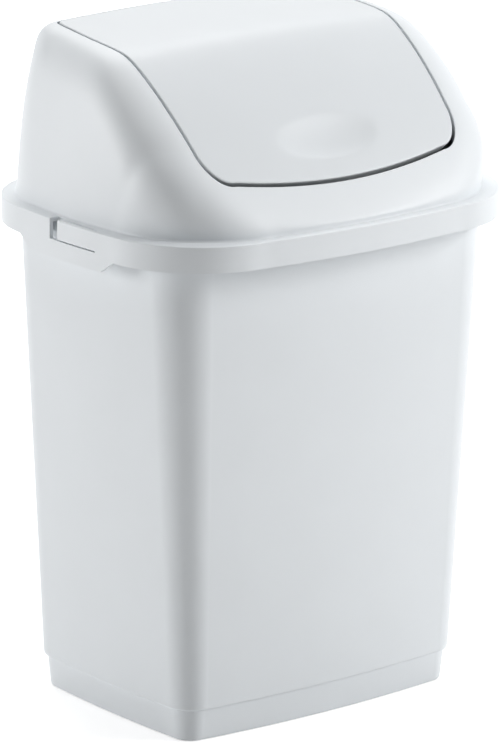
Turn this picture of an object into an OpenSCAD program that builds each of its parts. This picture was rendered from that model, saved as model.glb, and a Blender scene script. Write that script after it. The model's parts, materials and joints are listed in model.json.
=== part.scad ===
// Countertop waste bin: a tapered bucket, a lift-off hood with a snap collar,
// and a flap that swings inwards on two moulded stubs.
// Millimetres, +Z up, origin at the centre of the base, front towards -Y.

/* [Overall] */
// Width over the collar of the hood, the widest part of the bin
collar_w = 196.6; // [160:0.1:240]
// Depth over the collar of the hood
collar_d = 155; // [130:0.1:190]
// Height of the collar's top face above the table
collar_z = 216; // [170:1:300]
// Height of the hood above the collar, at the bend of the flap
hood_h = 66.8; // [54:0.1:84]
// Wall of every moulding
wall = 1.8; // [1.4:0.1:2.4]

/* [Bucket] */
// How far the collar reaches past the bucket at each side
reach_side = 11.2; // [9:0.1:14]
// How far the collar reaches past the bucket at the front and the back
reach_front = 15; // [12:0.1:17]
// How far each side wall leans in from the rim to the step above the foot
lean_side = 11.6; // [4:0.1:16]
// How far the front and back walls lean in over the same height
lean_front = 6.4; // [3:0.1:12]
// Upright corner radius at the rim
corner_top = 20; // [16:0.5:24]
// Upright corner radius at the step
corner_low = 12; // [9:0.5:16]
// Height of the foot band
foot_h = 13.9; // [9:0.1:24]
// How far the foot band is set in below the body
foot_step = 1.7; // [0.8:0.1:3]
// Draft of the foot band, from its top to the table
foot_draft = 1.2; // [0.4:0.1:2]
// Rounding of the edges that meet the table
foot_round = 1.6; // [0.8:0.1:2.4]
// Rounding of the body's edge at the step
step_round = 1.4; // [0.6:0.1:3]
// Hollow under the base
base_recess = 1.5; // [0.8:0.1:3]
// Width of the ring that stands on the table
foot_ring = 7; // [4:0.5:12]
// Rounding between the walls and the floor inside
floor_round = 6; // [3:0.5:9]

/* [Rim and collar] */
// Corner radius of the collar
collar_r = 45; // [38:0.5:48]
// Outward bow of the front and back, at mid-width
bow_front = 3.4; // [0:0.1:5]
// Outward bow of the sides, at mid-depth
bow_side = 1.4; // [0:0.1:3]
// Depth of the collar's skirt
skirt_h = 10.9; // [9:0.1:14]
// Rounding of the collar's top edge
collar_round = 0.6; // [0.3:0.1:2]
// Air between the skirt and the bucket's rim
rim_gap = 2.6; // [1.5:0.1:4]
// Depth of the rim's turned-down lip
rim_lip = 4.4; // [3:0.1:5.5]
// Rounding of the rim's edges
rim_round = 0.9; // [0.5:0.1:1.2]
// Gap left under the hood where it sits on the rim
seat_gap = 0.2; // [0.1:0.05:0.5]

/* [Hood] */
// Width of the collar's ledge outside the hood wall, at each side
ledge_side = 6.1; // [5:0.1:9]
// Width of the collar's ledge at the front and the back
ledge_front = 4.4; // [3.8:0.1:7]
// Fillet where the hood wall meets the collar
root_round = 1; // [0.5:0.1:3]
// Radius of the hood's front corners at the collar
hood_corner = 47; // [40:0.5:50]
// Radius of the hood's front corners at its top
hood_corner_top = 16; // [12:0.5:26]
// Radius of the hood's back corners at the collar
back_corner = 42; // [34:0.5:48]
// Radius of the hood's back corners at its top
back_corner_top = 22.5; // [12:0.5:30]
// Outward bow of the hood's front and back
hood_bow = 2.8; // [0:0.1:4]
// How far each side of the hood leans in over its height
hood_lean_side = 10; // [6:0.1:13]
// How far the back of the hood leans in over its height
hood_lean_back = 15.5; // [8:0.1:18]
// How far the front of the hood leans in over its height
hood_lean_front = 5; // [2:0.1:8]

/* [Flap opening] */
// Distance from the collar's side to the opening, at its widest
open_side = 29.1; // [25:0.1:34]
// Distance from the collar's front to the opening's front edge
open_front = 15.3; // [13:0.1:18]
// Distance from the collar's back to the opening's back edge
open_back = 30.3; // [27:0.1:36]
// Height of the opening's front edge above the collar
open_front_h = 15.2; // [13:0.1:23]
// Outward bow of the opening's front edge
open_bow = 4.4; // [0:0.1:7]
// Outward bow of the opening's side edges
open_bow_side = 2; // [0:0.1:3]
// Radius of the opening's front corners
open_corner = 12.6; // [8:0.1:18]
// Radius of the opening's back corners
open_corner_back = 4; // [3:0.1:8]
// Depth of the wall that turns down all round the opening
lip_h = 10; // [8.5:0.1:13]
// Width of each ledge that the flap's back edge rests on
rest_w = 20; // [12:0.5:30]
// Distance of each ledge's middle from the bin's middle
rest_x = 40; // [24:0.5:50]
// How far the ledges reach in under the flap
rest_reach = 4; // [3:0.1:6]
// Gap left between the ledges and the flap
rest_gap = 0.3; // [0.2:0.05:0.5]

/* [Flap surface] */
// Length of the nearly level top, from its back edge to the bend
top_len = 50.6; // [40:0.1:58]
// Rise of the top towards the back, per millimetre
top_rise = 0.08; // [0:0.005:0.12]
// Fall of the hood's top behind the opening, per millimetre
back_fall = 0.34; // [0:0.01:0.5]
// Share of the front's drop that is straight; the rest curves
front_straight = 0.61; // [0.5:0.01:0.8]
// Softness of the bend between the top and the front
bend_soft = 1.3; // [0.8:0.1:4]
// Crown of the surface from side to side
crown = 1.6; // [0:0.1:3]

/* [Flap] */
// Width of the gap round the flap
flap_gap = 1; // [0.7:0.05:1.6]
// Depth of the flap's turned-down flange
flange_h = 7; // [5:0.1:8.5]
// Rounding of the edges at the gap
edge_round = 0.6; // [0.3:0.05:0.8]
// Half length of the push recess, across the flap
recess_a = 26; // [18:0.5:34]
// Half width of the push recess, seen from above
recess_b = 7.4; // [5:0.1:10]
// Depth of the push recess
recess_depth = 2.6; // [1:0.1:4]
// Distance from the flap's front edge to the middle of the recess
recess_from_front = 12.9; // [10:0.1:20]

/* [Pivot] */
// Distance of the pivot in front of the bend
pivot_ahead = 9.9; // [6:0.1:16]
// Depth of the pivot below the surface
pivot_depth = 7.6; // [7:0.1:9]
// Radius of the flap's stubs
stub_r = 2.5; // [2:0.1:3]
// Radial clearance of the stubs in their bores
stub_fit = 0.08; // [0.05:0.01:0.1]
// Length of each stub past the flap's side
stub_len = 4.4; // [3.6:0.1:6]
// Wall round a stub's bore and round a stub's root
pivot_wall = 2.2; // [1.8:0.1:2.6]

/* [Collar latches] */
// Length of each spring tongue, from its root to its free end
tongue_len = 24.4; // [21:0.1:28]
// Distance of the tongue's root in front of mid-depth
tongue_root = 20.7; // [17:0.1:22]
// Length of the open slot at the tongue's free end
slot_len = 5.2; // [3:0.1:6]
// Gap along the tongue's long edges
cut_gap = 0.6; // [0.4:0.05:0.9]
// Ledge left between the tongue's top cut and the hood's fillet
cut_margin = 2.1; // [1.5:0.1:2.4]
// Ledge left between the slot and the hood's fillet
slot_margin = 0.6; // [0.3:0.1:1]
// Extra depth of the skirt below the tongue
deep_h = 5.1; // [3:0.1:8]
// Half length of the deeper skirt at its bottom edge
deep_half = 24; // [23:0.5:27]
// Length of the deeper skirt's slanted ends
deep_slant = 7; // [3:0.5:10]
// How far the catch hooks under the rim
catch_hook = 1.2; // [0.6:0.1:1.6]
// Length of the catch along the tongue
catch_len = 8; // [5:0.5:12]
// Height of the catch at its root
catch_h = 1; // [0.9:0.05:2]
// Gap between the catch and the rim's lip
catch_gap = 0.35; // [0.3:0.05:0.6]

/* [Hidden] */
$fn = 64;
SHELL_WHITE = [0.92, 0.93, 0.94];
FLAP_WHITE = [0.88, 0.9, 0.92];

// Steps along each side, corner, wall and shoulder of the moulded shells
SIDE_STEPS = 6;
CORNER_STEPS = 8;
QUARTER = SIDE_STEPS + CORNER_STEPS;
RING_N = 4 * QUARTER;
WALL_STEPS = 3;
SHOULDER_STEPS = 5;
SOLVE_STEPS = 18;
// Steps round small edges, and round the collar and the floor
EDGE_STEPS = 2;
WIDE_STEPS = 3;
// The flap's grid; its front rows are closer, for the push recess
FLAP_COLS = 20;
BACK_ROWS = 12;
FRONT_ROWS = 9;
FLAP_ROWS = BACK_ROWS + FRONT_ROWS;
FRONT_ROWS_FROM = 0.76;

// Least corner radius, least flat beside a fillet and least straight wall
LEAST_R = 0.5;
LEAST_FLAT = 0.2;
LEAST_WALL = 1;
// Half of the length over which the surface's slope is measured
SLOPE_STEP = 0.5;
// How far cuts run past what they cut
CUT = 1;
// How far the bosses stay back from the face that carries them
BOSS_BACK = 0.2;
// Distance of the catch from its tongue's free end
CATCH_BACK = 1;
// Exponents of the curves by which the hood's side, front and back lean in
LEAN_SIDE = 2.4;
LEAN_FRONT = 1.5;
LEAN_BACK = 0.8;

// An outline seen from above is [half width, front, back, front radius,
// back radius, front bow, back bow, side bow], with the extents at the bows
collar = [
    collar_w / 2, collar_d / 2, collar_d / 2,
    collar_r, collar_r, bow_front, bow_front, bow_side
];
body_top = [
    collar[0] - reach_side, collar[1] - reach_front, collar[2] - reach_front,
    corner_top, corner_top, bow_front, bow_front, bow_side
];
body_low = [
    body_top[0] - lean_side, body_top[1] - lean_front, body_top[2] - lean_front,
    corner_low, corner_low, bow_front, bow_front, bow_side
];
foot_top = inset(body_low, foot_step);
foot_low = inset(foot_top, foot_draft);
hood_base = [
    collar[0] - ledge_side, collar[1] - ledge_front, collar[2] - ledge_front,
    hood_corner, back_corner, hood_bow, hood_bow, bow_side
];
hood_top = [
    hood_base[0] - hood_lean_side, hood_base[1] - hood_lean_front, hood_base[2] - hood_lean_back,
    hood_corner_top, back_corner_top, hood_bow, hood_bow, bow_side
];
// Middle line of the gap round the flap
gap_line = [
    collar[0] - open_side, collar[1] - open_front, collar[2] - open_back,
    open_corner, open_corner_back, open_bow, 0, open_bow_side
];
opening = inset(gap_line, -flap_gap / 2);
flap_edge = inset(gap_line, flap_gap / 2);

// Fillets, limited by the ledges that they lie on
step_r = min(step_round, foot_step - LEAST_FLAT);
root_r = min(root_round, min(ledge_front, ledge_side) - collar_round - LEAST_FLAT);

// Heights
floor_z = base_recess + wall;
rim_z = collar_z - wall - seat_gap;
skirt_z = collar_z - skirt_h;
deep_z = skirt_z - deep_h;
hood_base_z = collar_z + root_r;
hood_top_z = collar_z + hood_h + crown;

// The bend of the surface that the flap and the hood's top share
bend_y = gap_line[2] - top_len;
bend_z = collar_z + hood_h;
front_run = bend_y + gap_line[1];
front_drop = hood_h - open_front_h;

// Pivot, and the flap's recess
pivot_y = bend_y - pivot_ahead;
pivot_z = face_z([gap_line[0], pivot_y]) - pivot_depth;
bore_r = stub_r + stub_fit;
recess_y = recess_from_front - flap_edge[1];

// Rim and latches
rim_out = inset(collar, wall + rim_gap);
catch_z = rim_z - rim_lip - catch_gap;
tongue_end = tongue_len - tongue_root;
tongue_low_z = catch_z - catch_h - LEAST_FLAT;
tongue_fold = max(ledge_side - root_r - cut_gap - cut_margin, wall + LEAST_FLAT);
slot_fold = max(ledge_side - root_r - slot_margin, tongue_fold + cut_gap);

function mix(p, q, t) = p + (q - p) * t;
function reversed(list) = [for (k = [len(list) - 1 : -1 : 0]) list[k]];
function inset(s, d) = [
    s[0] - d, s[1] - d, s[2] - d,
    max(s[3] - d, LEAST_R), max(s[4] - d, LEAST_R), s[5], s[6], s[7]
];

// Point at share t of a side that runs from p to q and bows outwards
function side_point(p, q, bow, t) =
    let (d = q - p) p + d * t + [d[1], -d[0]] / norm(d) * bow * 4 * t * (1 - t);
function corner_point(x, y, r, turn) = [x + r * cos(turn), y + r * sin(turn)];

// Point i of an outline, anticlockwise from above, starting at the back
function outline_point(s, i) =
    let (
        q = floor(i / QUARTER), j = i % QUARTER, on_side = j < SIDE_STEPS,
        w = s[0] - s[7], f = s[1] - s[5], b = s[2] - s[6], rf = s[3], rb = s[4],
        t = j / SIDE_STEPS, turn = 90 * (q + 1 + (j - SIDE_STEPS) / CORNER_STEPS)
    )
    q == 0 ? (
        on_side ? side_point([w - rb, b], [rb - w, b], s[6], t)
        : corner_point(rb - w, b - rb, rb, turn)
    )
    : q == 1 ? (
        on_side ? side_point([-w, b - rb], [-w, rf - f], s[7], t)
        : corner_point(rf - w, rf - f, rf, turn)
    )
    : q == 2 ? (
        on_side ? side_point([rf - w, -f], [w - rf, -f], s[5], t)
        : corner_point(w - rf, rf - f, rf, turn)
    )
    : on_side ? side_point([w, rf - f], [w, b - rb], s[7], t)
    : corner_point(w - rb, b - rb, rb, turn);
function ring(s, z) = [
    for (i = [0 : RING_N - 1]) let (p = outline_point(s, i)) [p[0], p[1], z]
];
// Half width of an outline at depth y, on its bowed side
function side_x(s, y) =
    let (from = s[3] + s[5] - s[1], to = s[2] - s[6] - s[4], t = (y - from) / (to - from))
    s[0] - s[7] + s[7] * 4 * t * (1 - t);
// Angles of a quarter turn
function quarter_turn(steps = EDGE_STEPS) = [for (k = [0 : steps]) 90 * k / steps];
// Rings that round the edge of a wall at outline s, from the wall to the
// face at height z, which lies above it (up = 1) or below it (up = -1)
function rounding(s, z, r, up, steps) = [
    for (a = quarter_turn(steps)) ring(inset(s, r * (1 - cos(a))), z - up * r * (1 - sin(a)))
];

// The crowned, bent surface that the flap and the top of the hood share
function face_z(p) =
    let (
        u = (bend_y - p[1]) / front_run,
        top_y = min(p[1], gap_line[2]),
        level = bend_z + top_rise * (top_y - bend_y) - back_fall * (p[1] - top_y),
        slope = bend_z - front_drop * (front_straight * u + (1 - front_straight) * pow(max(u, 0), 2)),
        soft = bend_soft * ln(1 + exp(-abs(level - slope) / bend_soft))
    )
    min(level, slope) - soft + crown * (1 - pow(p[0] / gap_line[0], 2));
// The same surface, lowered by a thickness d measured square to it
function under(p, d) =
    let (
        rise = face_z([p[0], p[1] + SLOPE_STEP]) - face_z([p[0], p[1] - SLOPE_STEP])
    )
    face_z(p) - d * norm([1, rise / (2 * SLOPE_STEP)]);
function on_face(s, drop) = [
    for (i = [0 : RING_N - 1]) let (p = outline_point(s, i)) [p[0], p[1], face_z(p) - drop]
];

// Point i of the hood's wall at height z, drawn in by d
function hood_wall(z, d, i) =
    let (
        t = min(1, max(0, (z - hood_base_z) / (hood_top_z - hood_base_z))),
        even = mix(hood_base, hood_top, t),
        lean_in = [
            mix(hood_base[0], hood_top[0], pow(t, LEAN_SIDE)),
            mix(hood_base[1], hood_top[1], pow(t, LEAN_FRONT)),
            mix(hood_base[2], hood_top[2], pow(t, LEAN_BACK)),
            even[3], even[4], even[5], even[6], even[7]
        ],
        p = outline_point(inset(lean_in, d), i)
    )
    [p[0], p[1], z];
// Height, between low and high, at which point i of the wall meets the surface
function meet_z(i, d, low = collar_z, high = hood_top_z + lip_h, n = SOLVE_STEPS) =
    let (z = (low + high) / 2)
    n == 0 ? z
    : z > under(hood_wall(z, d, i), d) ? meet_z(i, d, low, z, n - 1)
    : meet_z(i, d, z, high, n - 1);
// Rings of the hood's outer skin (d = 0) or inner skin (d = wall), from its
// foot up the wall and over the shoulder to the ring at the opening's edge
function hood_skin(foot_z, d, edge) =
    let (
        all = [0 : RING_N - 1],
        knee = [for (i = all) hood_wall(meet_z(i, d), d, i)],
        turn_z = [
            for (i = all) max(knee[i][2] - norm(knee[i] - edge[i]), hood_base_z + LEAST_WALL)
        ],
        turn = [for (i = all) hood_wall(turn_z[i], d, i)]
    )
    concat(
        [
            for (k = [0 : WALL_STEPS - 1])
                [for (i = all) hood_wall(mix(foot_z, turn_z[i], k / WALL_STEPS), d, i)]
        ],
        [
            for (k = [0 : SHOULDER_STEPS])
                let (t = k / SHOULDER_STEPS)
                [for (i = all) mix(mix(turn[i], knee[i], t), mix(knee[i], edge[i], t), t)]
        ]
    );

// Faces of the band of quads between loops of n points that start at a and b
function band(a, b, n) = [
    for (i = [0 : n - 1])
        let (j = (i + 1) % n) each [[a + i, b + i, b + j], [a + i, b + j, a + j]]
];
// A closed skin over a stack of rings: a loop of rings, or a cup with caps
module skin(rings, loop) {
    last = (len(rings) - 1) * RING_N;
    polyhedron(
        points = [for (r = rings) each r],
        faces = concat(
            [for (k = [0 : RING_N : last - RING_N]) each band(k, k + RING_N, RING_N)],
            loop ? band(last, 0, RING_N)
            : [[for (i = [0 : RING_N - 1]) i], [for (i = [RING_N - 1 : -1 : 0]) last + i]]
        )
    );
}

// Collar of the hood: its skirt and rounded edge, and its inside
collar_outside = concat(
    [ring(collar, deep_z)], rounding(collar, collar_z, collar_round, 1, WIDE_STEPS)
);
collar_inside = [ring(inset(collar, wall), collar_z - wall), ring(inset(collar, wall), deep_z)];

// Box that cuts the collar on its +X side to a depth of fold, from y = from
// to y = to and from height low upwards
module collar_cut(fold, from, to, low) {
    translate([collar[0] - fold, from, low]) cube([fold + CUT, to - from, skirt_h]);
}

// Spring tongue of the +X latch, cut out of the collar, with its catch
module tongue() {
    catch_x = rim_out[0] - catch_hook;
    catch_root = collar[0] - wall / 2;
    intersection() {
        skin(
            concat(
                collar_outside,
                [ring(hood_base, collar_z), ring(inset(hood_base, wall), collar_z - wall)],
                collar_inside
            ),
            true
        );
        collar_cut(tongue_fold, -tongue_root, tongue_end, tongue_low_z);
    }
    translate([0, tongue_end - CATCH_BACK, 0]) rotate([90, 0, 0]) linear_extrude(catch_len) polygon([
        [catch_x, catch_z], [catch_x, catch_z - wall / 3],
        [catch_root, catch_z - catch_h], [catch_root, catch_z]
    ]);
}

// Everything below the skirt's plain edge except the deeper lengths that
// carry the latches, which end in slants
module skirt_trim() {
    far = collar_d;
    for (s = [0, 1]) mirror([0, s, 0]) translate([-collar_w, 0, 0]) rotate([90, 0, 90])
        linear_extrude(2 * collar_w) polygon([
            [deep_half - deep_slant * CUT / deep_h, deep_z - CUT],
            [deep_half + deep_slant, skirt_z], [far, skirt_z], [far, deep_z - CUT]
        ]);
}

module pivot_cylinder(r, from, to) {
    translate([from, pivot_y, pivot_z]) rotate([0, 90, 0]) cylinder(r = r, h = to - from);
}

// Ledge on the opening's back wall, where the flap's flange comes to rest
module rest_ledge() {
    far_x = rest_x + rest_w / 2;
    top_z = face_z([far_x, flap_edge[2]]) - flange_h - rest_gap;
    translate([rest_x - rest_w / 2, opening[2] - rest_reach, top_z - wall])
        cube([rest_w, rest_reach + wall / 2, wall]);
}

// Bucket: foot band, leaning walls and a turned-down rim, in one moulding
module bin_body() {
    mouth = inset(body_top, wall);
    foot_inside = inset(foot_low, wall);
    color(SHELL_WHITE) skin(
        concat(
            [ring(inset(foot_low, foot_ring), base_recess), ring(inset(foot_low, foot_ring), 0)],
            reversed(rounding(foot_low, 0, foot_round, -1, EDGE_STEPS)),
            [ring(foot_top, foot_h)],
            reversed(rounding(body_low, foot_h, step_r, -1, EDGE_STEPS)),
            [
                ring(body_top, rim_z - wall),
                ring(inset(rim_out, wall), rim_z - wall),
                ring(inset(rim_out, wall), rim_z - rim_lip),
                ring(rim_out, rim_z - rim_lip)
            ],
            rounding(rim_out, rim_z, rim_round, 1, EDGE_STEPS),
            [
                for (a = quarter_turn())
                    ring(inset(mouth, -rim_round * (1 - sin(a))), rim_z - rim_round * (1 - cos(a)))
            ],
            [
                ring(inset(body_low, wall), foot_h + step_r + wall / 2),
                ring(inset(foot_top, wall), foot_h - wall / 2)
            ],
            rounding(foot_inside, floor_z, floor_round, -1, WIDE_STEPS)
        ),
        false
    );
}

// Hood: collar, walls, shoulder and the wall turned down round the opening
module hood() {
    lip_back = inset(opening, -wall);
    side = side_x(opening, pivot_y);
    edge = on_face(inset(opening, -edge_round), 0);
    inner_edge = [
        for (i = [0 : RING_N - 1]) let (p = outline_point(lip_back, i)) [p[0], p[1], under(p, wall)]
    ];
    // The fillet's rings, without the last, which is the foot of the wall
    fillet = [
        for (k = [0 : EDGE_STEPS - 1])
            let (a = quarter_turn()[k])
            ring(inset(hood_base, -root_r * (1 - sin(a))), hood_base_z - root_r * cos(a))
    ];
    color(SHELL_WHITE) difference() {
        union() {
            skin(
                concat(
                    collar_outside,
                    fillet,
                    hood_skin(hood_base_z, 0, edge),
                    [on_face(opening, edge_round), on_face(opening, lip_h), on_face(lip_back, lip_h)],
                    reversed(hood_skin(collar_z - wall, wall, inner_edge)),
                    collar_inside
                ),
                true
            );
            for (s = [0, 1]) mirror([s, 0, 0]) {
                pivot_cylinder(bore_r + pivot_wall, side + BOSS_BACK, side + stub_len);
                rest_ledge();
            }
        }
        skirt_trim();
        for (s = [0, 1]) mirror([s, 0, 0]) {
            collar_cut(tongue_fold + cut_gap, -tongue_root, tongue_end + CUT, tongue_low_z - cut_gap);
            collar_cut(slot_fold, tongue_end, tongue_end + slot_len, tongue_low_z - cut_gap);
            pivot_cylinder(bore_r, side - wall, side + stub_len + CUT);
        }
    }
}

// Point of the flap at a column and a row of its grid, on outline s
function flap_point(s, col, row) =
    let (
        across = sin(90 * (2 * col / FLAP_COLS - 1)),
        along = row <= BACK_ROWS ? FRONT_ROWS_FROM * row / BACK_ROWS
            : mix(FRONT_ROWS_FROM, 1, (row - BACK_ROWS) / FRONT_ROWS),
        w = s[0] - s[7], f = s[1] - s[5], b = s[2], x = w * abs(across),
        front_flat = w - s[3], back_flat = w - s[4],
        front = x < front_flat ? -f - s[5] * (1 - pow(x / front_flat, 2))
            : -f + s[3] - sqrt(max(0, s[3] * s[3] - pow(x - front_flat, 2))),
        back = x < back_flat ? b : b - s[4] + sqrt(max(0, s[4] * s[4] - pow(x - back_flat, 2)))
    )
    [(w + s[7] * 4 * along * (1 - along)) * across, mix(back, front, along)];
// Depth of the oval push recess at a point
function recess(p) =
    recess_depth * max(0, 1 - pow(p[0] / recess_a, 2) - pow((p[1] - recess_y) / recess_b, 2));

// Swing flap: a bent, crowned sheet with a flange all round and two stubs
module swing_flap() {
    cells = [for (row = [0 : FLAP_ROWS]) for (col = [0 : FLAP_COLS]) [col, row]];
    rim = concat(
        [for (col = [FLAP_COLS : -1 : 1]) [col, 0]],
        [for (row = [0 : FLAP_ROWS - 1]) [0, row]],
        [for (col = [0 : FLAP_COLS - 1]) [col, FLAP_ROWS]],
        [for (row = [FLAP_ROWS : -1 : 1]) [FLAP_COLS, row]]
    );
    outside = inset(flap_edge, edge_round);
    inside = inset(flap_edge, wall);
    top = [
        for (c = cells)
            let (p = flap_point(outside, c[0], c[1])) [p[0], p[1], face_z(p) - recess(p)]
    ];
    bottom = [
        for (c = cells)
            let (p = flap_point(inside, c[0], c[1])) [p[0], p[1], under(p, wall) - recess(p)]
    ];
    loops = [
        for (l = [[inside, flange_h], [flap_edge, flange_h], [flap_edge, edge_round]])
            for (c = rim) let (p = flap_point(l[0], c[0], c[1])) [p[0], p[1], face_z(p) - l[1]]
    ];
    m = len(cells);
    n = len(rim);
    // The grids' edges as loops of point numbers, inside and outside
    at = [for (c = rim) c[1] * (FLAP_COLS + 1) + c[0]];
    stack = [
        [for (i = at) m + i], [for (i = [0 : n - 1]) 2 * m + i], [for (i = [0 : n - 1]) 2 * m + n + i],
        [for (i = [0 : n - 1]) 2 * m + 2 * n + i], at
    ];
    quads = [
        for (row = [0 : FLAP_ROWS - 1]) for (col = [0 : FLAP_COLS - 1])
            let (a = row * (FLAP_COLS + 1) + col) [a, a + 1, a + FLAP_COLS + 2, a + FLAP_COLS + 1]
    ];
    side = side_x(flap_edge, pivot_y);
    color(FLAP_WHITE) {
        polyhedron(
            points = concat(top, bottom, loops),
            faces = concat(
                [for (q = quads) each [[q[0], q[1], q[2]], [q[0], q[2], q[3]]]],
                [for (q = quads) each [[m + q[0], m + q[2], m + q[1]], [m + q[0], m + q[3], m + q[2]]]],
                [
                    for (k = [0 : len(stack) - 2]) for (i = [0 : n - 1])
                        let (j = (i + 1) % n, a = stack[k], b = stack[k + 1])
                            each [[a[i], b[i], b[j]], [a[i], b[j], a[j]]]
                ]
            )
        );
        for (s = [0, 1]) mirror([s, 0, 0]) {
            pivot_cylinder(stub_r + pivot_wall, side - wall, side - BOSS_BACK);
            pivot_cylinder(stub_r, side - wall, side + stub_len);
        }
    }
}

module latch_left() {
    color(SHELL_WHITE) mirror([1, 0, 0]) tongue();
}

module latch_right() {
    color(SHELL_WHITE) tongue();
}

bin_body();
hood();
swing_flap();
latch_left();
latch_right();
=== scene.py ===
"""Countertop waste bin with a swing flap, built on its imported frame.

The bucket is a Geometry Nodes form, and the hood, the flap and the collar's
spring tongues are modelled mouldings. All have the frame's own sizes at a finer
mesh, but for the flap's flange: in front it stands square to the face above it,
so that the gap round the flap is dark. Everything is in metres, +Z up, with the
front of the bin towards -Y.
"""

import json
import math

import bmesh
import bpy
import numpy as np
from bpy.props import FloatProperty, FloatVectorProperty, PointerProperty
from mathutils import Matrix, Vector


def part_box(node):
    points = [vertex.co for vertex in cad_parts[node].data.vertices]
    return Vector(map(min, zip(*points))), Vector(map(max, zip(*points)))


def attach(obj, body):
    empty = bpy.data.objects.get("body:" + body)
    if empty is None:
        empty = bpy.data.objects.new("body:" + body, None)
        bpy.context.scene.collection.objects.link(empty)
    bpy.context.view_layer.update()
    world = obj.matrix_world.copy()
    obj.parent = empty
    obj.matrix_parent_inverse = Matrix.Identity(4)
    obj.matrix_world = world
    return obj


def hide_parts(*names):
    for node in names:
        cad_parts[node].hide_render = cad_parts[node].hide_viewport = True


bl_info = {
    "name": "Swing-flap waste bin",
    "version": (1, 0, 0),
    "blender": (4, 5, 0),
    "location": "3D View > Sidebar > Waste Bin",
    "description": "Builds the bucket, hood, flap and latches of a countertop waste bin",
    "category": "Object",
}

MM = 0.001
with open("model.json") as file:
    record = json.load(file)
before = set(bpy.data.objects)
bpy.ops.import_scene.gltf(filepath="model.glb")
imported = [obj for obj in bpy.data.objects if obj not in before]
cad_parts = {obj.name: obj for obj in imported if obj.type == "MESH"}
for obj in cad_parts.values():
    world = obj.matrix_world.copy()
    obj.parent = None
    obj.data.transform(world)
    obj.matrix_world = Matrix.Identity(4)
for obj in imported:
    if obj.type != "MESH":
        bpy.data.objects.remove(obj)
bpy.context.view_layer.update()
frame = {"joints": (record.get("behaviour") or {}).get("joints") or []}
HOOD_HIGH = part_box("hood")[1]
RIM_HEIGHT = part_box("bin_body")[1].z
PIVOT = Vector(next(j["pos_m"] for j in frame["joints"] if j["name"] == "flap_swing"))
LATCH_LOW, LATCH_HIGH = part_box("latch_right")

# Steps along each side, round each corner, up the walls and over the shoulder
SIDE_STEPS = 28
CORNER_STEPS = 24
WALL_STEPS = 24
FOOT_STEPS = 4
SHOULDER_STEPS = 20
ROUND_STEPS = 5
STUB_SEGMENTS = 64
SOLVE_STEPS = 30
FLAP_COLUMNS = 96
FLAP_ROWS = 112
SMALLEST_CORNER = 0.5 * MM
SLOPE_STEP = 0.5 * MM
MERGE_DISTANCE = 0.002 * MM
# Room above the hood in which its walls are followed to the top surface, and
# the least height of wall that is left below the shoulder
HEADROOM = 12 * MM
LEAST_WALL = 1 * MM
# Exponents of the curves that the hood's sides, front and back lean in by
LEAN_SIDE, LEAN_FRONT, LEAN_BACK = 2.4, 1.5, 0.8
# How far cutting blocks run past what they cut, and how far the hood's bosses
# and the pads of the flap's stubs stay back from the gap
CUT = 1 * MM
BOSS_BACK = 0.2 * MM
PAD_BACK = 0.1 * MM
# Length over which the flap's flange turns from straight down to square to the face
FLANGE_TURN = 20 * MM
# Edges that turn by more degrees than this stay sharp
SHARP_ANGLE = 32

# The bin's two whites
SHELL_COLOUR = "#E6EAED"
FLAP_COLOUR = "#E0E4E7"


def linear(hex_colour):
    """An sRGB hex colour as linear values."""
    channels = [int(hex_colour[i : i + 2], 16) / 255 for i in (1, 3, 5)]
    return [c / 12.92 if c <= 0.04045 else ((c + 0.055) / 1.055) ** 2.4 for c in channels]


def length(name, description, millimetres):
    """A size that is typed in as millimetres and kept in metres."""
    return FloatProperty(
        name=name, description=description, default=millimetres * MM,
        min=0.0, precision=5, unit="LENGTH",
    )


def colour(name, description, hex_colour):
    """A colour that is typed in as sRGB hex and kept as linear values."""
    return FloatVectorProperty(
        name=name, description=description, default=linear(hex_colour), subtype="COLOR", size=3
    )


class MouldingSizes(bpy.types.PropertyGroup):
    """Sizes that the mouldings share."""

    wall: length("Wall", "Thickness of every moulding", 1.8)
    collar_corner: length("Collar corner", "Corner radius of the collar", 45)
    collar_round: length("Collar rounding", "Rounding of the collar's top edge", 0.6)
    bow_front: length("Front bow", "Outward bow of the collar's front and back", 3.4)
    bow_side: length("Side bow", "Outward bow of the sides", 1.4)
    skirt: length("Skirt", "Depth of the collar's plain skirt", 10.9)
    seat_gap: length("Seat gap", "Air between the hood and the bucket's rim", 0.2)
    rim_gap: length("Rim gap", "Air between the skirt and the bucket's rim", 2.6)


class BucketSizes(bpy.types.PropertyGroup):
    """Sizes of the bucket."""

    reach_side: length("Side reach", "How far the collar reaches past the bucket's side", 11.2)
    reach_front: length("Front reach", "How far the collar reaches past the bucket's front", 15)
    lean_side: length("Side lean", "How far each side leans in towards the foot", 11.6)
    lean_front: length("Front lean", "How far front and back lean in towards the foot", 6.4)
    corner_top: length("Rim corner", "Upright corner radius at the rim", 20)
    corner_low: length("Foot corner", "Upright corner radius above the foot", 12)
    foot_height: length("Foot band", "Height of the foot band", 13.9)
    foot_step: length("Foot step", "How far the foot band is set in", 1.7)
    foot_draft: length("Foot draft", "How far the foot band leans in", 1.2)
    foot_round: length("Foot rounding", "Rounding of the edge on the table", 1.6)
    step_round: length("Step rounding", "Rounding of the body's edge at the step", 1.4)
    recess: length("Base recess", "Hollow under the base", 1.5)
    foot_ring: length("Foot ring", "Width of the ring that stands on the table", 7)
    floor_round: length("Floor rounding", "Rounding between walls and floor inside", 6)
    rim_lip: length("Rim lip", "Depth of the rim's turned-down lip", 4.4)
    rim_round: length("Rim rounding", "Rounding of the rim's edges", 0.9)


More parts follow.
